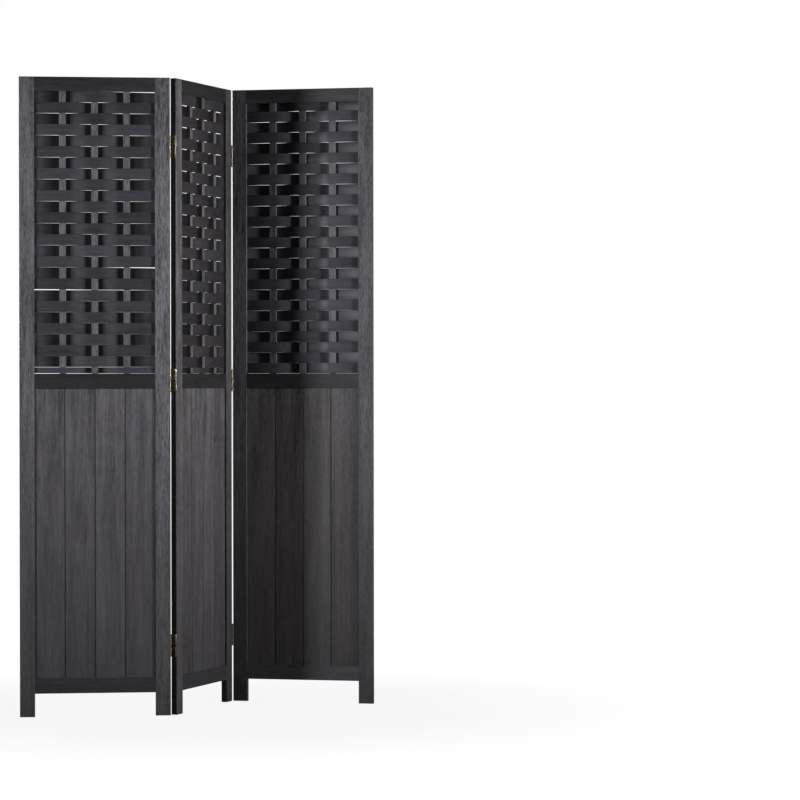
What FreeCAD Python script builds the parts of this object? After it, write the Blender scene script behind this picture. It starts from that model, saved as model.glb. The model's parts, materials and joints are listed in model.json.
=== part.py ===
"""Three-panel folding screen: woven veneer above, tongue-and-groove planks below.

Millimetres, +Z up, front towards -Y. The screen stands in its zigzag rest pose with the origin
on the floor, in the middle of its footprint. Every panel is built flat in its own frame (X across
from its left edge, Y through its thickness with 0 at the middle, Z up from the floor) and is then
turned and moved to its place. Each piece is written to parts/NODE.step.
"""
import FreeCAD, Part

import math
import os

from FreeCAD import Placement, Rotation, Vector

# Panel frame
PANEL_WIDTH = 400.0
PANEL_HEIGHT = 1700.0
PANEL_DEPTH = 16.0
STILE_WIDTH = 40.0
TOP_RAIL = 38.0
WEAVE_OPENING = 750.0
MIDDLE_RAIL = 40.0
PLANK_OPENING = 770.0
BOTTOM_RAIL = 40.0
EDGE_CHAMFER = 0.3

# Rest pose: yaw of the left panel, then how far each joint is folded from flat
LEFT_YAW = 10.0
LEFT_FOLD = 64.5
RIGHT_FOLD = 84.5

# Wood joints: a tongue or tenon clears the walls of its groove by FIT on each side
FIT = 0.1
TENON_LENGTH = 20.0
TENON_DEPTH = 6.0
TENON_SHOULDER = 8.0
GROOVE_ENTRY = 5.0
GROOVE_FLOOR = 1.0

# Planks
PLANK_COUNT = 4
PLANK_DEPTH = 6.0
PLANK_JOINT = 0.3
PLANK_VEE = 1.0
TONGUE_DEPTH = 2.0
TONGUE_LENGTH = 4.0

# Weave: three upright stakes with strips bent round them, alternate rows on opposite sides
STAKE_COUNT = 3
STAKE_PITCH = 85.0
STAKE_WIDTH = 17.6
STAKE_DEPTH = 10.0
STRIP_ROWS = 26
STRIP_DEPTH = 1.8
STRIP_SLIT = 0.3
STRIP_CLEARANCE = 0.15
STRIP_GROOVE = 3.2
WEAVE_TOP_GAP = 0.2
WEAVE_BOTTOM_GAP = 0.4

# Hinges: leaves let into the panel edges, barrel just outside the faces that fold together
HINGE_HEIGHTS = (185.0, 893.0, 1517.0)
HINGE_LENGTH = 60.0
HINGE_GAP = 1.2
LEAF_DEPTH = 1.2
LEAF_SINK = 0.75
LEAF_MARGIN = 1.0
BARREL_RADIUS = 1.8
BARREL_SIDES = 16
BARREL_STANDOFF = 1.9
KNUCKLE_COUNT = 5
KNUCKLE_PLAY = 0.2
KNUCKLE_CLEARANCE = 0.3
PIN_RADIUS = 0.9
PIN_SIDES = 12
PIN_CLEARANCE = 0.05
PIN_OVERHANG = 0.8

# Countersunk screws, three to a leaf, the middle one set further from the barrel
SCREW_SPACING = 22.0
SCREW_SETBACK = 9.0
SCREW_STAGGER = 2.0
SCREW_SIDES = 6
SCREW_LENGTH = 14.0
SCREW_HEAD_RADIUS = 2.7
SCREW_NECK_RADIUS = 1.5
SCREW_TIP_RADIUS = 0.5
SCREW_FIT = 0.05

# Heights and centre lines that follow from the above
HALF_DEPTH = PANEL_DEPTH / 2
OPENING_WIDTH = PANEL_WIDTH - 2 * STILE_WIDTH
LEG = PANEL_HEIGHT - TOP_RAIL - WEAVE_OPENING - MIDDLE_RAIL - PLANK_OPENING - BOTTOM_RAIL
PLANK_Z = LEG + BOTTOM_RAIL
MIDDLE_RAIL_Z = PLANK_Z + PLANK_OPENING
WEAVE_Z = MIDDLE_RAIL_Z + MIDDLE_RAIL
TOP_RAIL_Z = WEAVE_Z + WEAVE_OPENING
GROOVE_DEEP = GROOVE_ENTRY + GROOVE_FLOOR
FIRST_STAKE = PANEL_WIDTH / 2 - STAKE_PITCH * (STAKE_COUNT - 1) / 2
STAKE_CENTRES = [FIRST_STAKE + index * STAKE_PITCH for index in range(STAKE_COUNT)]
PIVOT_Y = HALF_DEPTH + BARREL_STANDOFF
LEAF_FACE = HINGE_GAP / 2 + LEAF_SINK - LEAF_DEPTH
LEAF_BACK = HINGE_GAP / 2 + LEAF_SINK
UP = Vector(0, 0, 1)

# How far the middle of a strip stands off the middle of the panel where it crosses a stake
STRIP_SWING = STAKE_DEPTH / 2 + STRIP_CLEARANCE + STRIP_DEPTH / 2


class Weave:
    """Where the strips of one panel lie: all rows alike except one that was cut to fit.

    Rows that have slack hang lower at their right end by that much and leave a wedge above and below.
    planed says how much of a row's height is missing at its top left, top right and bottom left corner.
    """

    def __init__(self, first_side, narrow_row, narrow_height, slack=0.0, slack_rows=(), planed=None):
        self.first_side = first_side
        self.narrow_row = narrow_row
        self.narrow_height = narrow_height
        self.slack = slack
        self.slack_rows = slack_rows
        self.planed = planed or {}
        used = WEAVE_TOP_GAP + WEAVE_BOTTOM_GAP + narrow_height + STRIP_SLIT * (STRIP_ROWS - 1) + slack
        self.full_height = (WEAVE_OPENING - used) / (STRIP_ROWS - 1)

    def rows(self):
        """Heights of the lower and upper edge of every strip, each at the left and right stile."""
        top = TOP_RAIL_Z - WEAVE_TOP_GAP
        for row in range(STRIP_ROWS):
            height = self.narrow_height if row == self.narrow_row else self.full_height
            drop = self.slack if row in self.slack_rows else 0.0
            top_left, top_right, bottom_left = self.planed.get(row, (0.0, 0.0, 0.0))
            bottom = top - height
            yield (bottom + bottom_left, bottom - drop), (top - top_left, top - drop - top_right)
            top = bottom - STRIP_SLIT
            if row in self.slack_rows[-1:]:
                top -= self.slack


# Left and middle panels end in a narrow strip at the bottom, the right one starts with one on top.
# On the left panel two strips have slipped, and the first and last ones don't fill their corners.
LAST_ROW = STRIP_ROWS - 1
WEAVES = {
    "left": Weave(first_side=1, narrow_row=LAST_ROW, narrow_height=17.0, slack=2.3, slack_rows=(16, 17),
                  planed={0: (0.0, 2.4, 0.0), LAST_ROW: (1.4, 0.0, 2.2)}),
    "middle": Weave(first_side=-1, narrow_row=LAST_ROW, narrow_height=15.0),
    "right": Weave(first_side=1, narrow_row=0, narrow_height=23.0),
}


def box(x0, x1, y0, y1, z0, z1):
    return Part.makeBox(x1 - x0, y1 - y0, z1 - z0, Vector(x0, y0, z0))


def prism(outline, direction):
    """Solid from a closed outline of straight lines, pushed along a vector."""
    wire = Part.makePolygon(outline + outline[:1])
    return Part.Face(wire).extrude(direction)


def regular_polygon(radius, sides):
    """Corner points of a regular polygon about the origin, as pairs."""
    angles = [2 * math.pi * index / sides for index in range(sides)]
    return [(radius * math.cos(angle), radius * math.sin(angle)) for angle in angles]


def bar(radius, sides, z0, z1):
    """Upright round bar about the Z axis, with as few faces as sides says."""
    return prism([Vector(x, y, z0) for x, y in regular_polygon(radius, sides)], UP * (z1 - z0))


def solid_through(rings):
    """Closed solid through rings of equally many points, capped by the first and the last one."""
    faces = [Part.Face(Part.makePolygon(ring + ring[:1])) for ring in (rings[0], rings[-1])]
    for ring, following in zip(rings, rings[1:]):
        for index in range(len(ring)):
            corners = [ring[index - 1], ring[index], following[index], following[index - 1]]
            faces.append(Part.Face(Part.makePolygon(corners + corners[:1])))
    solid = Part.makeSolid(Part.makeShell(faces))
    if solid.Volume < 0:
        solid.reverse()
    return solid


def eased_rectangle(a0, a1, b0, b1, chamfer):
    """Corner points of a rectangle with cut corners, as pairs."""
    return [
        (a0 + chamfer, b0), (a1 - chamfer, b0), (a1, b0 + chamfer), (a1, b1 - chamfer),
        (a1 - chamfer, b1), (a0 + chamfer, b1), (a0, b1 - chamfer), (a0, b0 + chamfer),
    ]


def mirrored_across(shape):
    """The same piece at the other side of the panel."""
    return shape.mirror(Vector(PANEL_WIDTH / 2, 0, 0), Vector(1, 0, 0))


def stile():
    """Left upright with mortises for the rails and grooves for the planks and the strip ends."""
    outline = [Vector(x, y, 0) for x, y in
               eased_rectangle(0, STILE_WIDTH, -HALF_DEPTH, HALF_DEPTH, EDGE_CHAMFER)]
    body = prism(outline, UP * PANEL_HEIGHT)
    cuts = []
    for z, height in ((LEG, BOTTOM_RAIL), (MIDDLE_RAIL_Z, MIDDLE_RAIL), (TOP_RAIL_Z, TOP_RAIL)):
        wall = TENON_DEPTH / 2 + FIT
        cuts.append(box(STILE_WIDTH - TENON_LENGTH - GROOVE_FLOOR, STILE_WIDTH, -wall, wall,
                        z + TENON_SHOULDER - FIT, z + height - TENON_SHOULDER + FIT))
    groove_bottom = STILE_WIDTH - GROOVE_DEEP
    wall = PLANK_DEPTH / 2 + FIT
    cuts.append(box(groove_bottom, STILE_WIDTH, -wall, wall,
                    PLANK_Z - GROOVE_DEEP, MIDDLE_RAIL_Z + GROOVE_DEEP))
    wall = STRIP_GROOVE / 2
    cuts.append(box(groove_bottom, STILE_WIDTH, -wall, wall, WEAVE_Z, TOP_RAIL_Z))
    return body.cut(cuts)


def rail(z, height, plank_edge=None, stake_edge=None):
    """Cross rail between the stiles, with a tenon at each end.

    plank_edge and stake_edge are -1 for the lower edge and +1 for the upper one.
    """
    profile = eased_rectangle(-HALF_DEPTH, HALF_DEPTH, z, z + height, EDGE_CHAMFER)
    outline = [Vector(STILE_WIDTH, y, level) for y, level in profile]
    far_end = PANEL_WIDTH - STILE_WIDTH
    body = prism(outline, Vector(OPENING_WIDTH, 0, 0))
    tenon = box(STILE_WIDTH - TENON_LENGTH, far_end + TENON_LENGTH, -TENON_DEPTH / 2, TENON_DEPTH / 2,
                z + TENON_SHOULDER, z + height - TENON_SHOULDER)
    body = body.fuse(tenon).removeSplitter()
    cuts = []
    if plank_edge:
        wall = PLANK_DEPTH / 2 + FIT
        low, high = edge_band(z, height, plank_edge)
        cuts.append(box(STILE_WIDTH, far_end, -wall, wall, low, high))
    if stake_edge:
        wall = STAKE_DEPTH / 2 + FIT
        half = STAKE_WIDTH / 2 + FIT
        low, high = edge_band(z, height, stake_edge)
        for centre in STAKE_CENTRES:
            cuts.append(box(centre - half, centre + half, -wall, wall, low, high))
    return body.cut(cuts)


def edge_band(z, height, edge):
    """Heights between which a groove is cut into the lower or upper edge of a rail."""
    if edge < 0:
        return z, z + GROOVE_DEEP
    return z + height - GROOVE_DEEP, z + height


def plank(index):
    """One plank: groove on its left edge, tongue on its right, plain where a stile takes it."""
    pitch = OPENING_WIDTH / PLANK_COUNT
    half = PLANK_DEPTH / 2
    vee = half - PLANK_VEE
    tongue = TONGUE_DEPTH / 2
    groove = tongue + FIT
    left = STILE_WIDTH + index * pitch + PLANK_JOINT / 2
    right = STILE_WIDTH + (index + 1) * pitch - PLANK_JOINT / 2
    if index == 0:
        plain = STILE_WIDTH - GROOVE_ENTRY
        left_side = [(plain, half), (plain, -half)]
    else:
        floor = left + TONGUE_LENGTH
        left_side = [
            (left + PLANK_VEE, half), (left, vee), (left, groove), (floor, groove),
            (floor, -groove), (left, -groove), (left, -vee), (left + PLANK_VEE, -half),
        ]
    if index == PLANK_COUNT - 1:
        plain = PANEL_WIDTH - STILE_WIDTH + GROOVE_ENTRY
        right_side = [(plain, -half), (plain, half)]
    else:
        tip = right + TONGUE_LENGTH
        right_side = [
            (right - PLANK_VEE, -half), (right, -vee), (right, -tongue), (tip, -tongue),
            (tip, tongue), (right, tongue), (right, vee), (right - PLANK_VEE, half),
        ]
    bottom = PLANK_Z - GROOVE_ENTRY
    outline = [Vector(x, y, bottom) for x, y in left_side + right_side]
    return prism(outline, UP * (PLANK_OPENING + 2 * GROOVE_ENTRY))


def stakes():
    """The flat uprights that carry the weave, let into the rails above and below."""
    half = STAKE_WIDTH / 2
    return Part.makeCompound([
        box(centre - half, centre + half, -STAKE_DEPTH / 2, STAKE_DEPTH / 2,
            WEAVE_Z - GROOVE_ENTRY, TOP_RAIL_Z + GROOVE_ENTRY)
        for centre in STAKE_CENTRES
    ])


def strip_outline(first_side):
    """Plan of one strip, which passes behind (+1) or before (-1) the first stake and then swaps.

    It lies flat over each stake and runs straight from there to the next one or into a stile.
    """
    half = STAKE_WIDTH / 2
    swing = first_side * STRIP_SWING
    path = [(STILE_WIDTH - GROOVE_ENTRY, 0)]
    for centre in STAKE_CENTRES:
        path += [(centre - half, swing), (centre + half, swing)]
        swing = -swing
    path.append((PANEL_WIDTH - STILE_WIDTH + GROOVE_ENTRY, 0))
    front = [Vector(x, y - STRIP_DEPTH / 2, 0) for x, y in path]
    back = [Vector(x, y + STRIP_DEPTH / 2, 0) for x, y in reversed(path)]
    return front + back


def strips(weave, parity):
    """Every second strip of a panel; rows of the other parity swing the opposite way."""
    outline = strip_outline(weave.first_side if parity == 0 else -weave.first_side)
    solids = []
    for row, edges in enumerate(weave.rows()):
        if row % 2 == parity:
            solids.append(solid_through([raised(outline, *edge) for edge in edges]))
    return Part.makeCompound(solids)


def raised(outline, left, right):
    """A plan outline lifted to a height that runs evenly from the left stile to the right one."""
    slope = (right - left) / OPENING_WIDTH
    return [point + UP * (left + slope * (point.x - STILE_WIDTH)) for point in outline]


def knuckle_spans(leaf_side):
    """Height ranges of a leaf's knuckles: the fixed leaf (+1) has the odd ones, the moving one the rest."""
    length = HINGE_LENGTH / KNUCKLE_COUNT
    first = 0 if leaf_side > 0 else 1
    for index in range(first, KNUCKLE_COUNT, 2):
        low = index * length - HINGE_LENGTH / 2
        yield low, low + length


def screw(leaf_side, height, setback, allowance=0.0):
    """One tapered screw with few faces in the hinge's frame, or with an allowance the hole for it."""
    head = Vector(leaf_side * LEAF_FACE, -BARREL_STANDOFF - setback, height)
    sections = ((0, SCREW_HEAD_RADIUS), (LEAF_DEPTH, SCREW_NECK_RADIUS), (SCREW_LENGTH, SCREW_TIP_RADIUS))
    corners = regular_polygon(1.0, SCREW_SIDES)
    rings = []
    for depth, radius in sections:
        centre = head + Vector(leaf_side * depth, 0, 0)
        rings.append([centre + Vector(0, y, z) * (radius + allowance) for y, z in corners])
    return solid_through(rings)


def leaf_screws(leaf_side, allowance=0.0):
    return [
        screw(leaf_side, -SCREW_SPACING, SCREW_SETBACK, allowance),
        screw(leaf_side, 0, SCREW_SETBACK + SCREW_STAGGER, allowance),
        screw(leaf_side, SCREW_SPACING, SCREW_SETBACK, allowance),
    ]


def hinge_leaf(leaf_side):
    """Flat plate on one panel edge with its knuckles, around a pin axis at x = y = 0."""
    plate_x = sorted((leaf_side * LEAF_FACE, leaf_side * LEAF_BACK))
    half = HINGE_LENGTH / 2
    plate = box(*plate_x, -BARREL_STANDOFF - PANEL_DEPTH + LEAF_MARGIN, -PIN_RADIUS, -half, half)
    notches = []
    for low, high in knuckle_spans(-leaf_side):
        notches.append(box(*plate_x, -BARREL_RADIUS - KNUCKLE_CLEARANCE, 0,
                           low - KNUCKLE_PLAY / 2, high + KNUCKLE_PLAY / 2))
    knuckles = [bar(BARREL_RADIUS, BARREL_SIDES, low + KNUCKLE_PLAY / 2, high - KNUCKLE_PLAY / 2)
                for low, high in knuckle_spans(leaf_side)]
    bore_radius = (PIN_RADIUS + PIN_CLEARANCE) / math.cos(math.pi / PIN_SIDES)
    bore = bar(bore_radius, PIN_SIDES, -half, half)
    body = plate.cut(notches).fuse(knuckles).removeSplitter()
    return body.cut([bore] + leaf_screws(leaf_side, SCREW_FIT))


def hinge_pin():
    """Pin whose ends stand a little out of the barrel."""
    half = HINGE_LENGTH / 2 + PIN_OVERHANG
    return bar(PIN_RADIUS, PIN_SIDES, -half, half)


def hinge_place(panel_edge, barrel_side, height):
    """Where a hinge sits in its panel's frame; barrel_side is +1 at the back and -1 at the front."""
    x = -HINGE_GAP / 2 if panel_edge == "left" else PANEL_WIDTH + HINGE_GAP / 2
    turn = 0 if barrel_side > 0 else 180
    return Placement(Vector(x, barrel_side * PIVOT_Y, height), Rotation(UP, turn))


def placed(shape, placement):
    moved = shape.copy()
    moved.Placement = placement.multiply(moved.Placement)
    return moved


def repeated(shapes, placements):
    """Copies of some solids at every place, as separate solids of one node."""
    return Part.makeCompound([placed(shape, place) for place in placements for shape in shapes])


# Which hinges a panel carries: joint name, its edge, barrel side and leaf (+1 fixed, -1 moving)
PANEL_HINGES = {
    "left": [("left", "right", 1, -1)],
    "middle": [("left", "left", 1, 1), ("right", "right", -1, 1)],
    "right": [("right", "left", -1, -1)],
}


def panel_hinges(name):
    """The hinge leaves, pins and screws that one panel carries, alike pieces in one node."""
    pieces = {}
    screws = []
    for joint, edge, barrel_side, leaf_side in PANEL_HINGES[name]:
        places = [hinge_place(edge, barrel_side, height) for height in HINGE_HEIGHTS]
        kind = "fixed" if leaf_side > 0 else "moving"
        pieces[f"{joint}_hinges_{kind}_leaves"] = repeated([hinge_leaf(leaf_side)], places)
        if leaf_side > 0:
            pieces[f"{joint}_hinges_pins"] = repeated([hinge_pin()], places)
        screws.append(repeated(leaf_screws(leaf_side), places))
    pieces[f"{name}_panel_screws"] = Part.makeCompound([one for group in screws for one in group.Solids])
    return pieces


def leaf_recesses(name, panel_edge):
    """Shallow cuts for the hinge leaves in one edge of a panel, open towards the barrel."""
    outer = 0.0 if panel_edge == "left" else PANEL_WIDTH - LEAF_SINK
    half = HINGE_LENGTH / 2 + FIT
    depth = PANEL_DEPTH - LEAF_MARGIN + FIT
    cuts = []
    for _, edge, barrel_side, _ in PANEL_HINGES[name]:
        if edge == panel_edge:
            low = HALF_DEPTH - depth if barrel_side > 0 else -HALF_DEPTH
            cuts += [box(outer, outer + LEAF_SINK, low, low + depth, height - half, height + half)
                     for height in HINGE_HEIGHTS]
    return cuts


def panel(name):
    """All pieces of one panel with its half of the hinges, in the panel's own frame."""
    prefix = f"{name}_panel"
    pieces = panel_hinges(name)
    for edge, upright in (("left", stile()), ("right", mirrored_across(stile()))):
        cuts = leaf_recesses(name, edge)
        pieces[f"{prefix}_{edge}_stile"] = upright.cut(cuts) if cuts else upright
    pieces[f"{prefix}_top_rail"] = rail(TOP_RAIL_Z, TOP_RAIL, stake_edge=-1)
    pieces[f"{prefix}_middle_rail"] = rail(MIDDLE_RAIL_Z, MIDDLE_RAIL, plank_edge=-1, stake_edge=1)
    pieces[f"{prefix}_bottom_rail"] = rail(LEG, BOTTOM_RAIL, plank_edge=1)
    for index in range(PLANK_COUNT):
        pieces[f"{prefix}_plank_{index + 1}"] = plank(index)
    pieces[f"{prefix}_stakes"] = stakes()
    pieces[f"{prefix}_odd_strips"] = strips(WEAVES[name], 0)
    pieces[f"{prefix}_even_strips"] = strips(WEAVES[name], 1)
    return pieces


def joined_to(neighbour, yaw, barrel_side):
    """Placement of the panel to the right of a placed one, hinged to it at the given side."""
    pivot = neighbour.multVec(Vector(PANEL_WIDTH + HINGE_GAP / 2, barrel_side * PIVOT_Y, 0))
    turn = Rotation(UP, yaw)
    own = turn.multVec(Vector(-HINGE_GAP / 2, barrel_side * PIVOT_Y, 0))
    return Placement(pivot - own, turn), pivot


def rest_pose():
    """Placements of the panels and the two pivots, with the origin in the middle of the footprint."""
    middle_yaw = LEFT_YAW + LEFT_FOLD
    right_yaw = middle_yaw - RIGHT_FOLD
    left = Placement(Vector(0, 0, 0), Rotation(UP, LEFT_YAW))
    middle, left_pivot = joined_to(left, middle_yaw, 1)
    right, right_pivot = joined_to(middle, right_yaw, -1)
    places = {"left": left, "middle": middle, "right": right}
    corners = [place.multVec(Vector(x, y, 0)) for place in places.values()
               for x in (0, PANEL_WIDTH) for y in (-HALF_DEPTH, HALF_DEPTH)]
    xs = [corner.x for corner in corners]
    ys = [corner.y for corner in corners]
    centre = Vector((min(xs) + max(xs)) / 2, (min(ys) + max(ys)) / 2, 0)
    shift = Placement(-centre, Rotation())
    places = {name: shift.multiply(place) for name, place in places.items()}
    return places, {"left_fold": left_pivot - centre, "right_fold": right_pivot - centre}


def main():
    os.makedirs("parts", exist_ok=True)
    places, pivots = rest_pose()
    for name, place in places.items():
        for node, shape in panel(name).items():
            placed(shape, place).exportStep(f"parts/{node}.step")
    for joint, pivot in pivots.items():
        print(f"{joint} axis at x {pivot.x:.3f} y {pivot.y:.3f} mm")
    for name, place in places.items():
        for foot in (STILE_WIDTH / 2, PANEL_WIDTH - STILE_WIDTH / 2):
            spot = place.multVec(Vector(foot, 0, 0))
            print(f"{name} panel foot at x {spot.x:.3f} y {spot.y:.3f} mm")


main()
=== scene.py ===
"""Charcoal-stained folding screen: three panels of woven strips over planks, on brass butt hinges.

Lengths are in metres. A panel's own axes are X across from its left edge, Y through from front to
back with 0 in the middle of the frame, and Z up from the floor.
"""

import json
import math
import random

import bmesh
import bpy
from mathutils import Matrix, Vector


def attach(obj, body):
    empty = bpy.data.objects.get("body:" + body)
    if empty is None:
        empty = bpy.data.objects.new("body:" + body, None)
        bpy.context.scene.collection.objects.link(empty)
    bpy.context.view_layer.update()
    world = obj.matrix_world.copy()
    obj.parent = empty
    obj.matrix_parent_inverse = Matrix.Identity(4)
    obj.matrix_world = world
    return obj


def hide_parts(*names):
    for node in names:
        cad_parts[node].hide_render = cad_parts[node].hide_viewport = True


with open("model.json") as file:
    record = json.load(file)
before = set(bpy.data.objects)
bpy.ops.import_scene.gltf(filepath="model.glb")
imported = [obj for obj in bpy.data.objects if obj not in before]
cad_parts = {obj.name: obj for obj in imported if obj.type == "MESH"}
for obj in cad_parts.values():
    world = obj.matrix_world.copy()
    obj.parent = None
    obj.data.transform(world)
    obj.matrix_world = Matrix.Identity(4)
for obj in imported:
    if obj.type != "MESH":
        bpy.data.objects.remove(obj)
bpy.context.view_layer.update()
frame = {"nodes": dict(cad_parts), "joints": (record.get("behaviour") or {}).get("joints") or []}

MM = 0.001
SMOOTH_ANGLE = 35

# Panels, by the angle that each one is turned about the upright axis, in degrees
PANEL_YAW = {"left": 10.0, "middle": 74.5, "right": -10.0}
PANEL_WIDTH = 400 * MM
PANEL_DEPTH = 16 * MM
STILE_WIDTH = 40 * MM
PLANKS = 4
PLANK_PITCH = (PANEL_WIDTH - 2 * STILE_WIDTH) / PLANKS
# No two rails of a panel lie in the same stretch of this height
RAIL_PITCH = 500 * MM

# Weave: strips lie flat over a stake and OVERLAP past it, and enter the stiles by ENTRY
STAKE_PITCH = 85 * MM
STAKE_CENTRES = [PANEL_WIDTH / 2 + STAKE_PITCH * step for step in (-1, 0, 1)]
STAKE_WIDTH = 17.6 * MM
STRIP_DEPTH = 1.8 * MM
STRIP_SWING = 6.05 * MM
STRIP_OVERLAP = 0.8 * MM
STRIP_FLAT = STAKE_WIDTH / 2 + STRIP_OVERLAP
STRIP_ENTRY = 4.5 * MM
STRIP_EDGE = 0.45 * MM
STRIP_EDGE_TURNS = (0, 30, 60, 90)
STRIP_STEP = 2.6 * MM
STRIP_LEAN = 0.35 * MM
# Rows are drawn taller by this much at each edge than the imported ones
STRIP_SPREAD = 0.14 * MM
# A top edge goes from its left height to its right one with this power of the way
END_BEND = 3
# Where the ends of packed strips are read, and the least step between two of their levels
END_REACH = 1.5 * MM
LEVEL_STEP = STRIP_EDGE / 5
# Where a strip is narrower at its left end by more than CUT_STRIP, its corners there go this share
# of the way to the heights at its right end
CUT_STRIP = 1.0 * MM
CUT_FILL = 0.55

# Picture levels of the stains, dark and light, and of the darkest spots: pores, stained joints, and
# painted shade on the outer edges and deep behind the stakes
STILE_TINTS = (50, 49, 53), (104, 103, 109)
RAIL_TINTS = (34, 33, 37), (62, 61, 66)
PLANK_TINTS = (46, 45, 49), (98, 96, 103)
STAKE_TINTS = (60, 59, 63), (116, 114, 120)
STRIP_TINTS = (37, 36, 40), (57, 56, 62)
PORE_LEVEL = 22
JOINT_STAIN_AND_EDGE_SHADE_LEVEL = 28
RECESS_SHADE_LEVEL = 18

# How strongly each board reflects, against its kind of wood's usual tints. Set board by board to
# picture levels, these also hold painted light and shade: bottom rails lighter where less light
# reaches near the floor, top and middle rails darker in place of the sheen on the upright boards,
# and each panel's strips and stiles lighter or darker as the light on that panel differs.
WOOD_STRENGTH_AND_LIGHT = {
    "left": {
        "left_stile": 0.85, "right_stile": 0.95, "plank": 1.06, "stakes": 0.72, "strips": 1.19,
        "top_rail": 0.52, "middle_rail": 0.28, "bottom_rail": 1.2,
    },
    "middle": {
        "left_stile": 0.98, "right_stile": 0.56, "plank": 0.93, "stakes": 0.7, "strips": 0.84,
        "top_rail": 0.32, "middle_rail": 0.31, "bottom_rail": 1.35,
    },
    "right": {
        "left_stile": 0.75, "right_stile": 0.79, "plank": 0.94, "stakes": 0.72, "strips": 1.4,
        "top_rail": 1.0, "middle_rail": 0.58, "bottom_rail": 2.4,
    },
}

# Boards whose stain is warmer than the usual tints: what is left of red, green and blue
PLAIN = (1.0, 1.0, 1.0)
WOOD_CAST = {
    ("right", "plank"): (1.0, 0.96, 0.87), ("middle", "strips"): (1.0, 0.95, 0.89),
    ("middle", "left_stile"): (1.0, 0.98, 0.95), ("middle", "right_stile"): (1.0, 0.98, 0.96),
}

# How far the tone of single boards differs, and how strong the fine figure is in a panel's planks,
# in the stiles and in the other wood
STAKE_TONE = 0.1
PLANK_TONE = 0.12
GRAIN = {"left": 0.6, "middle": 1.3, "right": 0.95, "left_stile": 1.1, "right_stile": 1.6}
PLAIN_GRAIN = 1.0
# The figure is weaker near the floor: the heights between which it rises, and its lowest share
FIGURE_RISE = (0.25, 1.05)
FIGURE_LOW = 0.45

# Noise of the wood's figure: scale, detail, roughness. The grain is drawn out by the stretches.
WANDER_NOISE = (11.0, 2.0, 0.5)
BROAD_NOISE = (40.0, 3.0, 0.55)
FIGURE_NOISE = (130.0, 4.0, 0.62)
FINE_NOISE = (420.0, 3.0, 0.7)
PORE_NOISE = (700.0, 2.0, 0.5)
SPECK_NOISE = (360.0, 2.0, 0.7)
BLOTCH_NOISE = (22.0, 3.0, 0.6)
WARMTH_NOISE = (5.0, 1.0, 0.5)
WANDER_STRETCH = 0.2
GRAIN_STRETCH = 0.07
SPECK_STRETCH = 0.2
BLOTCH_STRETCH = 0.25
WANDER_REACH = 0.02
# How far each kind of figure moves the tone
BROAD_REACH = 0.24
FIGURE_REACH = 0.16
FINE_REACH = 0.22
SPECK_REACH = 0.24
BLOTCH_REACH = 0.11
# The range that nearly all noise falls in, and a wider one
USUAL_NOISE = (0.3, 0.7)
WIDE_NOISE = (0.2, 0.8)
PORE_RANGE = (0.62, 0.72)
PORE_SHARE = 0.45
WARM_RANGE = (0.42, 0.62)
WARM_SHARE = 0.35
WARM_TINT = (1.0, 0.93, 0.86, 1.0)
WOOD_ROUGHNESS = (0.46, 0.7)
WOOD_RELIEF = 0.14 * MM
FINE_RELIEF = 0.6
WOOD_SPECULAR = 0.35
NAME_SEED = 7.3

# Darker: painted shade on the panels' outer edges, stain gathered beside the planks, and painted
# shade deep behind the stakes
EDGE_BAND = 0.3 * MM
EDGE_SHADE = 0.55
JOINT_BAND = 3.4 * MM
JOINT_STAIN = 1.0
RECESS = (1.2 * MM, 4.6 * MM)
RECESS_SHADE = {"left": 0.8, "middle": 0.8, "right": 0.0}

# Strips: noise as above, how far figure, fibres and single strips move the tone, and the warm ones
STRIP_STRETCH = (0.05, 1.0, 1.0)
STRIP_FIGURE_NOISE = (160.0, 4.0, 0.6)
STRIP_FINE_NOISE = (900.0, 3.0, 0.6)
STRIP_FIGURE_REACH = 0.5
STRIP_FINE_REACH = 0.3
STRIP_TONE = (-0.25, 0.35)
STRIP_SEED = (97.0, 3.1)
WARM_STRIPS = (0.55, 0.85)
WARM_STRIP_SHARE = 0.8
WARM_STRIP_TINT = (1.0, 0.9, 0.85, 1.0)
STRIP_ROUGHNESS = (0.36, 0.52)
STRIP_RELIEF = 0.05 * MM
STRIP_SPECULAR = 0.22
STRIP_SPECULAR_TINT = (0.9, 0.94, 1.0, 1.0)

# Hinges, in axes whose origin is the pin's middle, with Y towards the side where the barrel stands
HINGE_HEIGHTS = (185 * MM, 893 * MM, 1517 * MM)
HINGE_LENGTH = 60 * MM
HINGE_GAP = 1.2 * MM
LEAF_DEPTH = 1.2 * MM
LEAF_SINK = 0.75 * MM
LEAF_BACK = HINGE_GAP / 2 + LEAF_SINK
LEAF_FACE = LEAF_BACK - LEAF_DEPTH
LEAF_MARGIN = 0.2 * MM
LEAF_CORNER = 2.5 * MM
LEAF_CORNER_TURNS = range(0, 91, 15)
LEAF_EASE = 0.15 * MM
BARREL_RADIUS = 1.8 * MM
BARREL_STANDOFF = 1.9 * MM
KNUCKLES = 5
KNUCKLE_PLAY = 0.2 * MM
KNUCKLE_EASE = 0.25 * MM
KNUCKLE_CLEARANCE = 0.3 * MM
ROUND_SIDES = 40
# The turn of a joint's hinges about the upright axis: 0 for barrels at the back, 180 at the front
BARREL_TURN = {"left": 0.0, "right": 180.0}
PIN_RADIUS = 0.9 * MM
PIN_OVERHANG = 0.8 * MM
# A pin's end, from its tip, as shares of the radius and of the overhang
PIN_END = ((0.5, 1.0), (0.87, 0.7), (1.0, 0.2))
SCREW_SPACING = 22 * MM
SCREW_SETBACK = 9 * MM
SCREW_STAGGER = 2 * MM
SCREW_RADIUS = 2.7 * MM
SCREW_DOME = 0.12 * MM
SCREW_SLOT = 0.55 * MM
SLOT_ROOM = 1.05
SCREW_STEPS = 18
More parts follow.
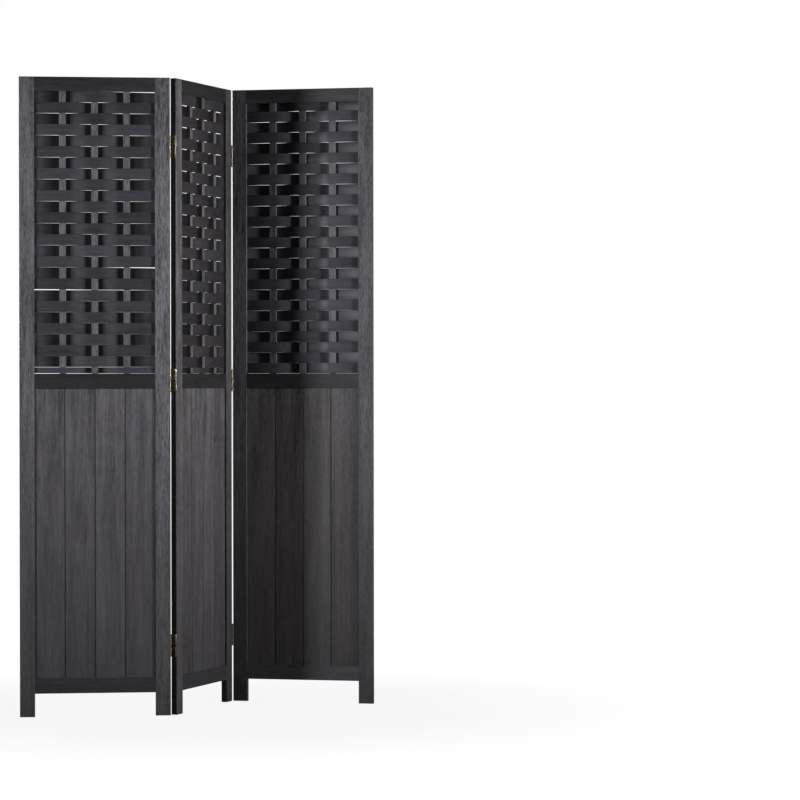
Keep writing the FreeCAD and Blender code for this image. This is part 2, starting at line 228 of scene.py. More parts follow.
# A screw head's floor as shares of the radius with heights, its crown as shares of radius and dome
SCREW_FLOOR = ((0.96, -LEAF_DEPTH * 0.6), (1.0, 0.02 * MM), (0.97, 0.06 * MM))
SCREW_CROWN = ((1.0, 0.03), (0.97, 0.35), (0.84, 0.72), (0.55, 0.94), (0.2, 1.0))

# Metals: picture levels, where along the panel's depth a leaf is smoother and has a painted
# highlight, and where its barrel starts
BROWNED_TINTS = (112, 103, 80), (64, 56, 42)
BROWNED_RANGE = (0.36, 0.62)
HIGHLIGHT_TINT = (240, 230, 222)
BARREL_TINTS = (118, 112, 100), (178, 168, 140)
POLISH_AND_HIGHLIGHT_START = (-8.4 * MM, -8.0 * MM)
POLISH_AND_HIGHLIGHT_END = (-3.4 * MM, -2.8 * MM)
BARREL_START = (8.2 * MM, 8.6 * MM)
BRASS_PATCH_NOISE = (160.0, 4.0, 0.6)
BRUSH_STRETCH = (1.0, 1.0, 0.08)
BRUSH_NOISE = (2200.0, 2.0, 0.5)
BRASS_ROUGHNESS = (0.4, 0.25)
BRUSH_ROUGHNESS = (-0.05, 0.05)
BRASS_RELIEF = 0.012 * MM
# The screws' dark tints are painted shade of their recesses; the lighter one is on rubbed crowns
SCREW_SHADE_AND_WEAR_TINTS = (38, 35, 31), (72, 62, 48)
SCREW_NOISE = (900.0, 4.0, 0.6)
SCREW_WORN_RANGE = (0.45, 0.7)
SCREW_ROUGHNESS = (0.34, 0.5)
SCREW_RELIEF = 0.02 * MM

# Camera, found from the photograph's corners; angles in degrees
IMAGE_SIZE = 800
CAMERA_PLACE = (1.0326, -8.9297, 0.9075)
CAMERA_TURN = 3.1501
CAMERA_TILT = -0.4357
CAMERA_ROLL = -0.0718
CAMERA_FOCUS_PIXELS = 3302.2
SENSOR_WIDTH = 36.0

# Studio: the floor hides its shadow less within the reach, and glossy rays see white only behind
WHITE = (1.0, 1.0, 1.0, 1.0)
ROOM_COLOUR = (0.94, 0.96, 1.0, 1.0)
ROOM_LEVEL = 0.08
FLOOR_COLOUR = (0.9, 0.9, 0.9, 1.0)
FLOOR_BOUNCE = (0.15, 0.15, 0.15, 1.0)
FLOOR_SIZE = 14.0
FLOOR_LEVEL = -0.2 * MM
SHADOW_REACH = (0.5, 1.4)
SHADOW_HIDDEN = 0.9
BEHIND = (0.8, 0.97)
LIGHT_TARGET = (0.0, 0.0, 1.2)
# Each lamp's name, place, size, power in watts, spread in degrees and colour
SOFTBOXES = (
    ("right_softbox", (4.713, -1.669, 1.35), (0.7, 0.9), 15.4, 39.0, (1.0, 0.98, 0.96)),
    ("left_softbox", (-3.069, -3.291, 1.35), (0.6, 0.9), 10.1, 42.0, (0.95, 0.97, 1.0)),
    ("back_softbox", (-2.893, 3.447, 1.6), (0.9, 0.9), 11.0, 42.0, (1.0, 1.0, 1.0)),
)

draw = random.Random(20)


def panel_matrix(panel):
    """The place of a panel's own axes in the frame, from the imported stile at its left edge."""
    turn = Matrix.Rotation(math.radians(PANEL_YAW[panel]), 4, "Z")
    corners = own_points(f"{panel}_panel_left_stile", turn)
    left = min(corner.x for corner in corners)
    depths = [corner.y for corner in corners]
    return turn @ Matrix.Translation((left, (min(depths) + max(depths)) / 2, 0))


def own_points(name, place):
    """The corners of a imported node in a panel's own axes."""
    back = place.inverted()
    return [back @ vertex.co for vertex in frame["nodes"][name].data.vertices]


def new_piece(name, mesh, place, material, body, slot, *nodes):
    """One piece of the screen, in the axes of place, that stands for the given CAD nodes."""
    piece = bpy.data.objects.new(name, mesh)
    bpy.context.collection.objects.link(piece)
    piece.matrix_world = place
    mesh.materials.append(material)
    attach(piece, body)
    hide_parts(*nodes)


def finished_mesh(name, shape):
    """A mesh from a bmesh, with faces that meet at less than SMOOTH_ANGLE shaded as one surface."""
    bmesh.ops.recalc_face_normals(shape, faces=shape.faces)
    mesh = bpy.data.meshes.new(name)
    for face in shape.faces:
        face.smooth = True
    for edge in shape.edges:
        edge.smooth = edge.calc_face_angle(math.pi) < math.radians(SMOOTH_ANGLE)
    shape.to_mesh(mesh)
    shape.free()
    return mesh


def loft(shape, sections):
    """Skin closed sections of equally many points, and cap both ends. Returns the new vertices."""
    rings = [[shape.verts.new(point) for point in section] for section in sections]
    count = len(rings[0])
    for ring, following in zip(rings, rings[1:]):
        for index in range(count):
            after = (index + 1) % count
            shape.faces.new((ring[index], ring[after], following[after], following[index]))
    shape.faces.new(reversed(rings[0]))
    shape.faces.new(rings[-1])
    return [vertex for ring in rings for vertex in ring]


def node(tree, kind, inputs=None, **settings):
    """Add a shader node. An input is a value, or the output socket that feeds it."""
    made = tree.nodes.new(kind)
    for key, value in settings.items():
        setattr(made, key, value)
    for key, value in (inputs or {}).items():
        if isinstance(value, bpy.types.NodeSocket):
            tree.links.new(value, made.inputs[key])
        else:
            made.inputs[key].default_value = value
    return made


def noise(tree, vector, scale, detail, roughness):
    inputs = {"Vector": vector, "Scale": scale, "Detail": detail, "Roughness": roughness}
    return node(tree, "ShaderNodeTexNoise", inputs).outputs["Fac"]


def scaled(tree, vector, scale):
    inputs = {"Vector": vector, "Scale": scale}
    return node(tree, "ShaderNodeMapping", inputs).outputs["Vector"]


def added(tree, first, second):
    """The sum of two vectors."""
    return node(tree, "ShaderNodeVectorMath", {0: first, 1: second}, operation="ADD").outputs[0]


def separated(tree, vector):
    return node(tree, "ShaderNodeSeparateXYZ", {"Vector": vector}).outputs


def calculated(tree, operation, first, second=0.0):
    return node(tree, "ShaderNodeMath", {0: first, 1: second}, operation=operation).outputs[0]


def remapped(tree, value, low, high, new_low=0.0, new_high=1.0):
    """Carry the range from low to high over to the new one, with soft ends."""
    inputs = {
        "Value": value, "From Min": low, "From Max": high, "To Min": new_low, "To Max": new_high,
    }
    settings = {"interpolation_type": "SMOOTHSTEP"}
    return node(tree, "ShaderNodeMapRange", inputs, **settings).outputs["Result"]


def mixed(tree, factor, first, second, blend="MIX"):
    settings = {"data_type": "RGBA", "blend_type": blend}
    return node(tree, "ShaderNodeMix", {0: factor, 6: first, 7: second}, **settings).outputs[2]


def grey(level):
    """A neutral colour from a picture level of 0 to 255."""
    return tint(level, level, level)


def tint(red, green, blue):
    """A colour from picture levels of 0 to 255."""
    return (*(linear(level / 255) for level in (red, green, blue)), 1.0)


def linear(level):
    """The light that a picture level of 0 to 1 stands for."""
    return level / 12.92 if level <= 0.04045 else ((level + 0.055) / 1.055) ** 2.4


def toned(colour, strength, cast):
    """A colour at another strength, with its channels weighed by cast."""
    return (*(strength * share * channel for share, channel in zip(cast, colour)), 1.0)


def new_material(name):
    material = bpy.data.materials.new(name)
    material.use_nodes = True
    material.node_tree.nodes.clear()
    return material


def surface(material, colour, roughness, bump, bump_depth, **values):
    """End a material in a principled shader. values are constant settings of its sockets."""
    tree = material.node_tree
    inputs = {"Height": bump, "Distance": bump_depth, "Strength": 1.0}
    normal = node(tree, "ShaderNodeBump", inputs).outputs["Normal"]
    inputs = {"Base Color": colour, "Roughness": roughness, "Normal": normal, **values}
    shader = node(tree, "ShaderNodeBsdfPrincipled", inputs)
    node(tree, "ShaderNodeOutputMaterial", {"Surface": shader.outputs["BSDF"]})


def own_coordinates(tree, place=None):
    """A piece's panel axes: its object coordinates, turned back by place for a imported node."""
    vector = node(tree, "ShaderNodeTexCoord").outputs["Object"]
    if place is None:
        return vector
    back = place.inverted()
    inputs = {"Vector": vector, "Location": back.translation, "Rotation": back.to_euler()}
    return node(tree, "ShaderNodeMapping", inputs, vector_type="POINT").outputs["Vector"]


def board_number(tree, vector, axis, pitch, start):
    """A number that is the same over one board, where boards follow along axis at pitch."""
    away = calculated(tree, "SUBTRACT", separated(tree, vector)[axis], start)
    return calculated(tree, "FLOOR", calculated(tree, "DIVIDE", away, pitch))


def by_plank(tree, vector):
    return board_number(tree, vector, "X", PLANK_PITCH, STILE_WIDTH)


def by_side(tree, vector):
    return board_number(tree, vector, "X", PANEL_WIDTH / 2, 0.0)


def by_height(tree, vector):
    return board_number(tree, vector, "Z", RAIL_PITCH, 0.0)


def by_stake(tree, vector):
    return board_number(tree, vector, "X", STAKE_PITCH, STAKE_CENTRES[0] - STAKE_PITCH / 2)


def chance(tree, number, seed):
    """A pair of steady random values for a board's number: one value, and one colour."""
    value = calculated(tree, "ADD", number, seed)
    made = node(tree, "ShaderNodeTexWhiteNoise", {"W": value}, noise_dimensions="1D")
    return made.outputs["Value"], made.outputs["Color"]


def outer_edge(tree, vector):
    """A mask of a panel's two outer edges, which are darker with painted shade."""
    half = PANEL_WIDTH / 2
    across = calculated(tree, "SUBTRACT", separated(tree, vector)["X"], half)
    away = calculated(tree, "ABSOLUTE", across)
    return remapped(tree, away, half - EDGE_BAND, half, 0.0, EDGE_SHADE)


def joint_line(tree, vector):
    """A mask of the joints beside the planks, where the stain has gathered."""
    across = calculated(tree, "SUBTRACT", separated(tree, vector)["X"], STILE_WIDTH)
    steps = calculated(tree, "DIVIDE", across, PLANK_PITCH)
    past = calculated(tree, "SUBTRACT", steps, calculated(tree, "ROUND", steps))
    away = calculated(tree, "ABSOLUTE", past)
    return remapped(tree, away, 0.0, JOINT_BAND / PLANK_PITCH, JOINT_STAIN, 0.0)


def wood(name, place, along, number, dark, light, tone, grain, marked=None):
    """Stained open-grained wood. along is the grain's axis, number gives each board its own figure.

    tone is how far boards differ, grain how strong the fine figure is, and the last argument,
    if given, is a mask of where the wood is darkest: stain gathered beside the planks, and
    painted shade on the stiles' outer edges.
    """
    material = new_material(name)
    tree = material.node_tree
    vector = own_coordinates(tree, place)
    value, colour = chance(tree, number(tree, vector), len(name) * NAME_SEED)
    shift = added(tree, vector, colour)

    def stretched(amount):
        return scaled(tree, shift, [amount if axis == along else 1.0 for axis in range(3)])

    wander = noise(tree, stretched(WANDER_STRETCH), *WANDER_NOISE)
    bend = calculated(tree, "MULTIPLY", calculated(tree, "SUBTRACT", wander, 0.5), WANDER_REACH)
    sideways = {axis: bend for axis in range(3) if axis != along}
    offset = node(tree, "ShaderNodeCombineXYZ", sideways).outputs[0]
    bent = added(tree, stretched(GRAIN_STRETCH), offset)

    broad = noise(tree, bent, *BROAD_NOISE)
    figure = noise(tree, bent, *FIGURE_NOISE)
    fine = noise(tree, bent, *FINE_NOISE)
    speck = noise(tree, stretched(SPECK_STRETCH), *SPECK_NOISE)
    blotch = noise(tree, stretched(BLOTCH_STRETCH), *BLOTCH_NOISE)
    pores = remapped(tree, noise(tree, bent, *PORE_NOISE), *PORE_RANGE)

    risen = remapped(tree, separated(tree, vector)["Z"], *FIGURE_RISE, FIGURE_LOW, 1.0)
    level = remapped(tree, value, 0.0, 1.0, 0.5 - tone, 0.5 + tone)
    for part, reach in (
        (broad, BROAD_REACH), (figure, FIGURE_REACH), (fine, FINE_REACH * grain),
        (speck, SPECK_REACH * grain), (blotch, BLOTCH_REACH),
    ):
        moved = remapped(tree, part, *USUAL_NOISE, -reach, reach)
        level = calculated(tree, "ADD", level, calculated(tree, "MULTIPLY", moved, risen))
    base = mixed(tree, level, dark, light)
    warmth = remapped(tree, noise(tree, shift, *WARMTH_NOISE), *WARM_RANGE, 0.0, WARM_SHARE)
    base = mixed(tree, warmth, base, mixed(tree, 1.0, base, WARM_TINT, "MULTIPLY"))
    base = mixed(tree, calculated(tree, "MULTIPLY", pores, PORE_SHARE), base, grey(PORE_LEVEL))
    # Stain gathered beside the planks, and painted shade on the stiles' outer edges
    if marked:
        base = mixed(tree, marked(tree, vector), base, grey(JOINT_STAIN_AND_EDGE_SHADE_LEVEL))

    roughness = remapped(tree, fine, *WIDE_NOISE, *WOOD_ROUGHNESS)
    relief = calculated(tree, "SUBTRACT", calculated(tree, "MULTIPLY", fine, FINE_RELIEF), pores)
    relief = calculated(tree, "ADD", relief, figure)
    values = {"Specular IOR Level": WOOD_SPECULAR}
    surface(material, base, roughness, relief, WOOD_RELIEF, **values)
    return material


def strip_wood(name, strength, cast, recess_shade):
    """Thin satin-stained strips with fine lengthwise grain; each strip has its own tone.

    The last argument is how much painted shade darkens them where they lie deep behind a stake.
    """
    material = new_material(name)
    tree = material.node_tree
    vector = own_coordinates(tree)
    seed = node(tree, "ShaderNodeAttribute", attribute_name="strip").outputs["Fac"]
    spacing, start = STRIP_SEED
    value, colour = chance(tree, calculated(tree, "MULTIPLY", seed, spacing), start)
    fibres = scaled(tree, added(tree, vector, colour), STRIP_STRETCH)
    figure = noise(tree, fibres, *STRIP_FIGURE_NOISE)
    fine = noise(tree, fibres, *STRIP_FINE_NOISE)

    level = calculated(tree, "ADD", remapped(tree, figure, *USUAL_NOISE, 0.0, STRIP_FIGURE_REACH),
                       remapped(tree, fine, *USUAL_NOISE, 0.0, STRIP_FINE_REACH))
    level = calculated(tree, "ADD", level, remapped(tree, value, 0.0, 1.0, *STRIP_TONE))
    base = mixed(tree, level, *(toned(tint(*levels), strength, cast) for levels in STRIP_TINTS))
    parts = node(tree, "ShaderNodeSeparateColor", {"Color": colour}).outputs
    warm = remapped(tree, parts["Blue"], *WARM_STRIPS, 0.0, WARM_STRIP_SHARE)
    base = mixed(tree, warm, base, mixed(tree, 1.0, base, WARM_STRIP_TINT, "MULTIPLY"))
    # Painted shade: the strips are darker where they lie deep behind a stake
    deep = remapped(tree, separated(tree, vector)["Y"], *RECESS, 0.0, recess_shade)
    base = mixed(tree, deep, base, grey(RECESS_SHADE_LEVEL))

    roughness = remapped(tree, fine, *WIDE_NOISE, *STRIP_ROUGHNESS)
    relief = calculated(tree, "ADD", fine, figure)
    values = {"Specular IOR Level": STRIP_SPECULAR, "Specular Tint": STRIP_SPECULAR_TINT}
    surface(material, base, roughness, relief, STRIP_RELIEF, **values)
    return material


def brass(name):
    """Browned brass, smoother along the front of the leaves, with a lighter colour there that is a
    painted highlight.
    """
    material = new_material(name)
    tree = material.node_tree
    vector = own_coordinates(tree)
    patch = noise(tree, vector, *BRASS_PATCH_NOISE)
    brushed = noise(tree, scaled(tree, vector, BRUSH_STRETCH), *BRUSH_NOISE)
    through = separated(tree, vector)["Y"]
    polish_and_highlight = calculated(tree, "MULTIPLY", remapped(tree, through, *POLISH_AND_HIGHLIGHT_START),
                          remapped(tree, through, *POLISH_AND_HIGHLIGHT_END, 1.0, 0.0))

    browned = remapped(tree, patch, *BROWNED_RANGE)
    base = mixed(tree, browned, *(tint(*levels) for levels in BROWNED_TINTS))
    # Painted highlight: a lighter metal colour along the front of the leaves
    base = mixed(tree, polish_and_highlight, base, tint(*HIGHLIGHT_TINT))
    barrel = remapped(tree, calculated(tree, "ABSOLUTE", through), *BARREL_START)
    backward = remapped(tree, through, -PANEL_DEPTH / 2, PANEL_DEPTH / 2)
    bare = mixed(tree, backward, *(tint(*levels) for levels in BARREL_TINTS))
    base = mixed(tree, barrel, base, bare)

    roughness = calculated(tree, "ADD", remapped(tree, polish_and_highlight, 0.0, 1.0, *BRASS_ROUGHNESS),
                           remapped(tree, brushed, *USUAL_NOISE, *BRUSH_ROUGHNESS))
    relief = calculated(tree, "ADD", brushed, patch)
    surface(material, base, roughness, relief, BRASS_RELIEF, Metallic=1.0)
    return material


def dark_metal(name):
    """Dark screws with crowns rubbed lighter; their dark colour is painted shade of their recesses.
    """
    material = new_material(name)
    tree = material.node_tree
    patch = noise(tree, own_coordinates(tree), *SCREW_NOISE)
    marked = remapped(tree, patch, *SCREW_WORN_RANGE)
    base = mixed(tree, marked, *(tint(*levels) for levels in SCREW_SHADE_AND_WEAR_TINTS))
    roughness = remapped(tree, patch, *USUAL_NOISE, *SCREW_ROUGHNESS)
    surface(material, base, roughness, patch, SCREW_RELIEF, Metallic=1.0)
    return material


def finish_panel_nodes(panel, place):
    """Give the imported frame, planks and stakes of a panel their wood."""
    def coat(part, along, number, tints, tone, grain, marked=None):
        # A board's strength holds its own tone, and painted light and shade as well
        strength = WOOD_STRENGTH_AND_LIGHT[panel][part]
        cast = WOOD_CAST.get((panel, part), PLAIN)
        shades = [toned(tint(*levels), strength, cast) for levels in tints]
        return wood(f"{panel}_{part}_wood", place, along, number, *shades, tone, grain, marked)

    upright, level = 2, 0
    coats = {"stakes": coat("stakes", upright, by_stake, STAKE_TINTS, STAKE_TONE, PLAIN_GRAIN)}
    plank = coat("plank", upright, by_plank, PLANK_TINTS, PLANK_TONE, GRAIN[panel], joint_line)
    coats.update({f"plank_{number + 1}": plank for number in range(PLANKS)})
    for part in ("left_stile", "right_stile"):
        coats[part] = coat(part, upright, by_side, STILE_TINTS, 0.0, GRAIN[part], outer_edge)
    for part in ("top_rail", "middle_rail", "bottom_rail"):
        coats[part] = coat(part, level, by_height, RAIL_TINTS, 0.0, PLAIN_GRAIN)
    for part, material in coats.items():
        item = frame["nodes"][f"{panel}_panel_{part}"]
        item.data.materials.clear()
        item.data.materials.append(material)


def strip_offset(x, side):
    """How far a strip's middle is from the panel's at x. side is -1 if it passes before stake 1."""
    crests = [(centre, side * (-1) ** number) for number, centre in enumerate(STAKE_CENTRES)]
    for centre, sign in crests:
        if abs(x - centre) <= STRIP_FLAT:
            return sign * STRIP_SWING
    first, first_sign = crests[0]
    last, last_sign = crests[-1]
    end_run = first - STRIP_FLAT - STILE_WIDTH
    if x < first:
        return first_sign * STRIP_SWING * math.cos(math.pi / 2 * (first - STRIP_FLAT - x) / end_run)
    if x > last:
        return last_sign * STRIP_SWING * math.cos(math.pi / 2 * (x - last - STRIP_FLAT) / end_run)
    before = max(crest for crest in crests if crest[0] < x)
    share = (x - before[0] - STRIP_FLAT) / (STAKE_PITCH - 2 * STRIP_FLAT)
    return before[1] * STRIP_SWING * (1 - 2 * share * share * (3 - 2 * share))


def strip_side(points):
    """-1 if packed strips pass before the first stake, 1 if they pass behind it."""
    near = [point.y for point in points if abs(point.x - STAKE_CENTRES[0]) < STAKE_WIDTH]
    return math.copysign(1, sum(near))


def strip_levels(points):
    """The bottom and top of each packed strip at its left end, and then at its right end."""
    ends = []
    for limit in (min(point.x for point in points), max(point.x for point in points)):
        heights = sorted(point.z for point in points if abs(point.x - limit) < END_REACH)
        levels = [heights[0]]
        for height in heights:
            if height - levels[-1] > LEVEL_STEP:
                levels.append(height)
        ends.append(list(zip(levels[::2], levels[1::2])))
    return list(zip(*ends))


def strip_section(depth, height):
    """A strip's outline as (through, up) pairs: a thin board with rounded edges."""
    inner = depth / 2 - STRIP_EDGE
    low, high = STRIP_EDGE, height - STRIP_EDGE
    points = []
    for centre_y, centre_z, start in (
        (inner, low, -90), (inner, high, 0), (-inner, high, 90), (-inner, low, 180),
    ):
        for turn in STRIP_EDGE_TURNS:
            angle = math.radians(start + turn)
            points.append((centre_y + STRIP_EDGE * math.cos(angle),
                           centre_z + STRIP_EDGE * math.sin(angle)))
    return points


def add_strip(shape, levels, side, layer):
    """Bend one strip through the stakes, between its packed levels at both ends."""
    (left_bottom, left_top), (right_bottom, right_top) = levels
    if right_top - right_bottom - left_top + left_bottom > CUT_STRIP:
        left_top += CUT_FILL * (right_top - left_top)
        left_bottom += CUT_FILL * (right_bottom - left_bottom)
    start = STILE_WIDTH - STRIP_ENTRY
    length = PANEL_WIDTH - 2 * start
    steps = round(length / STRIP_STEP)
    lean = draw.uniform(-STRIP_LEAN, STRIP_LEAN)
    seed = draw.random()
    sections = []
    for step in range(steps + 1):
        share = step / steps
        x = start + length * share
        slope = (strip_offset(x + MM, side) - strip_offset(x - MM, side)) / (2 * MM)
        normal = Vector((-slope, 1, 0)).normalized()
        bottom = left_bottom + (right_bottom - left_bottom) * share - STRIP_SPREAD
        height = left_top + (right_top - left_top) * share ** END_BEND + STRIP_SPREAD - bottom
        middle = Vector((x, strip_offset(x, side), bottom))
        sections.append([
            middle + normal * through + Vector((0, lean * (up / height - 0.5), up))
            for through, up in strip_section(STRIP_DEPTH, height)
        ])
    for vertex in loft(shape, sections):
        vertex[layer] = seed


def add_strips(panel, place, material):
    """All strips of a panel, as one piece for the odd rows and one for the even ones."""
    for name in (f"{panel}_panel_odd_strips", f"{panel}_panel_even_strips"):
        points = own_points(name, place)
        side = strip_side(points)
        shape = bmesh.new()
        layer = shape.verts.layers.float.new("strip")
        for levels in strip_levels(points):
            add_strip(shape, levels, side, layer)
        mesh = finished_mesh(name, shape)
        new_piece(f"{name}_bent", mesh, place, material, f"{panel}_panel", "weave_wood", name)


def turned(shape, profile, centre, axis=Vector((0, 0, 1))):
    """Turn a profile of (radius, along) pairs about an axis through centre into a closed solid."""
    across = axis.orthogonal().normalized()
    beside = axis.cross(across)
    angles = [2 * math.pi * side / ROUND_SIDES for side in range(ROUND_SIDES)]
    spokes = [across * math.cos(angle) + beside * math.sin(angle) for angle in angles]
    loft(shape, [[centre + axis * along + spoke * radius for spoke in spokes]
                 for radius, along in profile])


def knuckle_spans(first):
    """The ends of every second knuckle, from the given one, as heights about the hinge's middle."""
    pitch = HINGE_LENGTH / KNUCKLES
    for number in range(first, KNUCKLES, 2):
        bottom = number * pitch - HINGE_LENGTH / 2
        yield bottom + KNUCKLE_PLAY / 2, bottom + pitch - KNUCKLE_PLAY / 2


def leaf_outline(first_knuckle):
    """A leaf's plate as (through, up) pairs: fingers to its knuckles, round corners opposite."""
    root = -PIN_RADIUS
    notch = -BARREL_RADIUS - KNUCKLE_CLEARANCE
    far = -BARREL_STANDOFF - PANEL_DEPTH + LEAF_MARGIN
    top = HINGE_LENGTH / 2
    outline = []
    if first_knuckle:
        outline.append((notch, -top))
    for bottom, height in knuckle_spans(first_knuckle):
        outline += [(notch, bottom), (root, bottom), (root, height), (notch, height)]
    if first_knuckle:
        outline.append((notch, top))
    else:
        outline = outline[1:-1]
    for centre_z, start in ((top - LEAF_CORNER, 90), (LEAF_CORNER - top, 180)):
        for turn in LEAF_CORNER_TURNS:
            angle = math.radians(start + turn)
            outline.append((far + LEAF_CORNER + LEAF_CORNER * math.cos(angle),
                            centre_z + LEAF_CORNER * math.sin(angle)))
    return outline


def add_placed(shape, new, place):
    """Move a new bmesh by place and add it to shape."""
    bmesh.ops.transform(new, matrix=place, verts=new.verts)
    bmesh.ops.recalc_face_normals(new, faces=new.faces)
    carrier = bpy.data.meshes.new("carrier")
    new.to_mesh(carrier)
    new.free()
    shape.from_mesh(carrier)
    bpy.data.meshes.remove(carrier)


def add_leaf(shape, place, side, first_knuckle):
    """A leaf on the given side (-1 or 1) of the pin: a plate with round corners, and knuckles."""
    new = bmesh.new()
    outline = leaf_outline(first_knuckle)
    loft(new, [[(side * x, y, z) for y, z in outline] for x in (LEAF_FACE, LEAF_BACK)])
    bmesh.ops.bevel(new, geom=list(new.edges), offset=LEAF_EASE, segments=2, affect="EDGES",
                    profile=0.5)
    eased = BARREL_RADIUS - KNUCKLE_EASE
    for bottom, top in knuckle_spans(first_knuckle):
        profile = [(PIN_RADIUS, bottom), (eased, bottom), (BARREL_RADIUS, bottom + KNUCKLE_EASE),
                   (BARREL_RADIUS, top - KNUCKLE_EASE), (eased, top), (PIN_RADIUS, top)]
        turned(new, profile, Vector((0, 0, 0)))
    add_placed(shape, new, place)


def add_pin(shape, place):
    """A pin with domed ends that stand out of the barrel."""
    end = HINGE_LENGTH / 2
    upper = [(PIN_RADIUS * radius, end + PIN_OVERHANG * past) for radius, past in PIN_END]
    lower = [(radius, -height) for radius, height in upper]
    new = bmesh.new()
    turned(new, lower + upper[::-1], Vector((0, 0, 0)))
    add_placed(shape, new, place)


def add_screws(shape, place, side):
    """Three raised countersunk heads with a slot, on the open face of a leaf."""
    for number in (-1, 0, 1):
        setback = SCREW_SETBACK if number else SCREW_SETBACK + SCREW_STAGGER
        centre = Vector((side * LEAF_FACE, -BARREL_STANDOFF - setback, number * SCREW_SPACING))
        add_screw(shape, place, centre, -side)


def add_screw(shape, place, centre, outward):
    """One head, as two half domes with a floor between them for the slot."""
    new = bmesh.new()
    axis = Vector((outward, 0, 0))
    turned(new, [(SCREW_RADIUS * share, height) for share, height in SCREW_FLOOR], centre, axis)
    slot_turn = Matrix.Rotation(draw.uniform(0, math.pi), 3, "X")
    for half in (-1, 1):
        sections = []
        for reach, rise in SCREW_CROWN:
            radius = max(SCREW_RADIUS * reach, SCREW_SLOT * SLOT_ROOM)
            start = math.asin(SCREW_SLOT / 2 / radius)
            ring = []
            for step in range(SCREW_STEPS + 1):
                angle = start + (math.pi - 2 * start) * step / SCREW_STEPS
                ring.append((radius * math.cos(angle), half * radius * math.sin(angle)))
            raised = centre + axis * (SCREW_DOME * rise)
            sections.append([raised + slot_turn @ Vector((0, y, z)) for y, z in ring])
        loft(new, sections)
    add_placed(shape, new, place)


def hinge_places(joint, panel):
    """Axes of a joint's three hinges as a panel carries them: Y points to the barrel's side."""
    x, y, _ = next(item["pos_m"] for item in frame["joints"] if item["name"] == f"{joint}_fold")
    turn = Matrix.Rotation(math.radians(PANEL_YAW[panel] + BARREL_TURN[joint]), 4, "Z")
    for height in HINGE_HEIGHTS:
        yield Matrix.Translation((x, y, height)) @ turn


def add_hinges(places, metal, screw_metal):
    """Leaves, pins and screws of both joints. The middle panel has the fixed leaves and pins."""
    screws = {panel: bmesh.new() for panel in PANEL_YAW}
    for joint in BARREL_TURN:
        for panel, kind, side in (("middle", "fixed", 1), (joint, "moving", -1)):
            back = places[panel].inverted()
            own_places = [back @ place for place in hinge_places(joint, panel)]
            leaves = bmesh.new()
            for own_place in own_places:
                add_leaf(leaves, own_place, side, 0 if side > 0 else 1)
                add_screws(screws[panel], own_place, side)
            name = f"{joint}_hinges_{kind}_leaves"
            new_piece(f"{name}_rolled", finished_mesh(name, leaves), places[panel], metal,
                      f"{panel}_panel", "hinge_brass", name)
            if kind == "fixed":
                pins = bmesh.new()
                for own_place in own_places:
                    add_pin(pins, own_place)
                name = f"{joint}_hinges_pins"
                new_piece(f"{name}_turned", finished_mesh(name, pins), places[panel], metal,
                          f"{panel}_panel", "hinge_brass", name)
    for panel, shape in screws.items():
        name = f"{panel}_panel_screws"
        new_piece(f"{name}_slotted", finished_mesh(name, shape), places[panel], screw_metal,
                  f"{panel}_panel", "screw_metal", name)


def add_camera():
    lens = bpy.data.cameras.new("photo_camera")
    lens.sensor_width = SENSOR_WIDTH
    lens.lens = CAMERA_FOCUS_PIXELS / IMAGE_SIZE * SENSOR_WIDTH
    camera = bpy.data.objects.new("photo_camera", lens)
    bpy.context.collection.objects.link(camera)
    turn = Matrix.Rotation(math.radians(CAMERA_TURN), 4, "Z")
    tilt = Matrix.Rotation(math.radians(90 + CAMERA_TILT), 4, "X")
    roll = Matrix.Rotation(math.radians(CAMERA_ROLL), 4, "Z")
    camera.matrix_world = Matrix.Translation(CAMERA_PLACE) @ turn @ tilt @ roll
    bpy.context.scene.camera = camera


def add_softbox(name, place, size, power, spread, colour):
    """An area lamp that faces the upper middle of the screen."""
    lamp = bpy.data.lights.new(name, "AREA")
    lamp.shape = "RECTANGLE"
    lamp.size, lamp.size_y = size
    lamp.energy = power
    lamp.spread = math.radians(spread)
    lamp.color = colour
    item = bpy.data.objects.new(name, lamp)
    bpy.context.collection.objects.link(item)
    aim = Vector(LIGHT_TARGET) - Vector(place)
    turn = aim.to_track_quat("-Z", "Y").to_matrix().to_4x4()
    item.matrix_world = Matrix.Translation(place) @ turn


def background_share(tree, vector):
    """1 for rays that see white: all of the camera's, and glossy ones that go behind the screen."""
    rays = node(tree, "ShaderNodeLightPath").outputs
    behind = remapped(tree, separated(tree, vector)["Y"], *BEHIND)
    glossy = calculated(tree, "MULTIPLY", rays["Is Glossy Ray"], behind)
    direct = calculated(tree, "ADD", rays["Is Camera Ray"], rays["Is Transmission Ray"])
    settings = {"operation": "ADD", "use_clamp": True}
    return node(tree, "ShaderNodeMath", {0: direct, 1: glossy}, **settings).outputs[0]


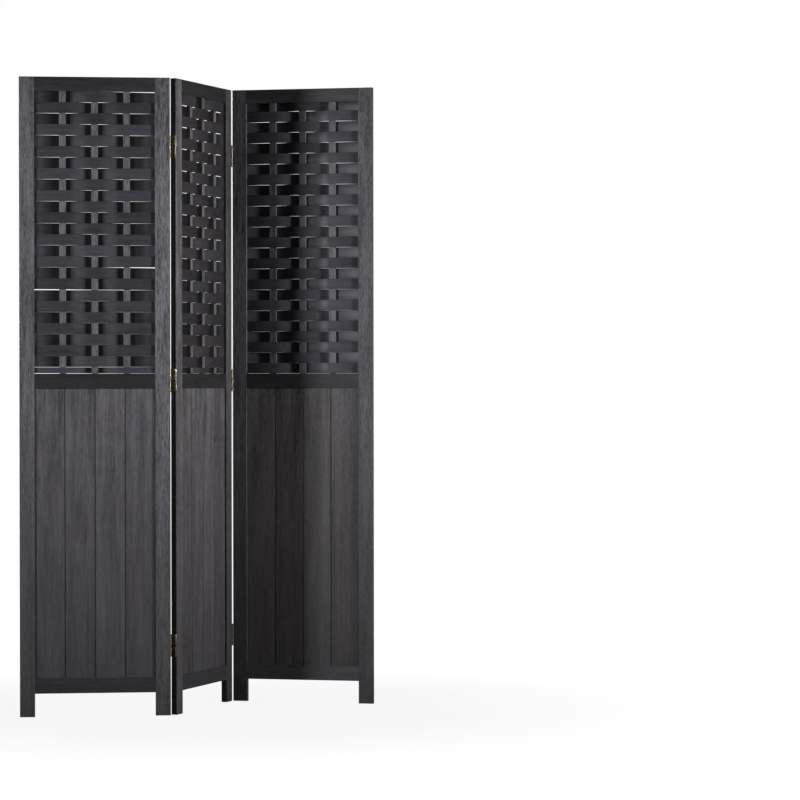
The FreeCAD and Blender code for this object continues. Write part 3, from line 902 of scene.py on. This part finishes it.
def add_world():
    """White behind the screen, a dim room on the camera's side."""
    world = bpy.data.worlds.new("studio")
    bpy.context.scene.world = world
    world.use_nodes = True
    tree = world.node_tree
    tree.nodes.clear()
    share = background_share(tree, node(tree, "ShaderNodeTexCoord").outputs["Generated"])
    room = node(tree, "ShaderNodeBackground", {"Color": ROOM_COLOUR, "Strength": ROOM_LEVEL})
    white = node(tree, "ShaderNodeBackground", {"Color": WHITE, "Strength": 1.0})
    mix = node(tree, "ShaderNodeMixShader", {0: share, 1: room.outputs[0], 2: white.outputs[0]})
    node(tree, "ShaderNodeOutputWorld", {"Surface": mix.outputs[0]})


def floor_paper(name):
    """White paper that keeps some of the screen's shadow and fades into the background."""
    material = new_material(name)
    tree = material.node_tree
    vector = node(tree, "ShaderNodeTexCoord").outputs["Object"]
    reach = node(tree, "ShaderNodeVectorMath", {0: vector}, operation="LENGTH").outputs["Value"]
    fade = remapped(tree, reach, *SHADOW_REACH, SHADOW_HIDDEN, 1.0)
    share = calculated(tree, "MULTIPLY", background_share(tree, vector), fade)
    camera_ray = node(tree, "ShaderNodeLightPath").outputs["Is Camera Ray"]
    colour = mixed(tree, camera_ray, FLOOR_BOUNCE, FLOOR_COLOUR)
    matt = node(tree, "ShaderNodeBsdfDiffuse", {"Color": colour})
    white = node(tree, "ShaderNodeEmission", {"Color": WHITE, "Strength": 1.0})
    mix = node(tree, "ShaderNodeMixShader", {0: share, 1: matt.outputs[0], 2: white.outputs[0]})
    node(tree, "ShaderNodeOutputMaterial", {"Surface": mix.outputs[0]})
    return material


def add_floor():
    shape = bmesh.new()
    bmesh.ops.create_grid(shape, x_segments=2, y_segments=2, size=FLOOR_SIZE / 2)
    mesh = bpy.data.meshes.new("floor")
    shape.to_mesh(mesh)
    shape.free()
    floor = bpy.data.objects.new("floor", mesh)
    bpy.context.collection.objects.link(floor)
    floor.location.z = FLOOR_LEVEL
    mesh.materials.append(floor_paper("floor_paper"))


def main():
    places = {panel: panel_matrix(panel) for panel in PANEL_YAW}
    for panel, place in places.items():
        finish_panel_nodes(panel, place)
        # The strips' strength per panel holds painted light and shade too
        strength = WOOD_STRENGTH_AND_LIGHT[panel]["strips"]
        cast = WOOD_CAST.get((panel, "strips"), PLAIN)
        material = strip_wood(f"{panel}_strip_wood", strength, cast, RECESS_SHADE[panel])
        add_strips(panel, place, material)
    add_hinges(places, brass("hinge_brass"), dark_metal("screw_metal"))
    add_world()
    add_floor()
    for lamp in SOFTBOXES:
        add_softbox(*lamp)
    add_camera()
    bpy.context.scene.view_settings.view_transform = "Standard"


main()
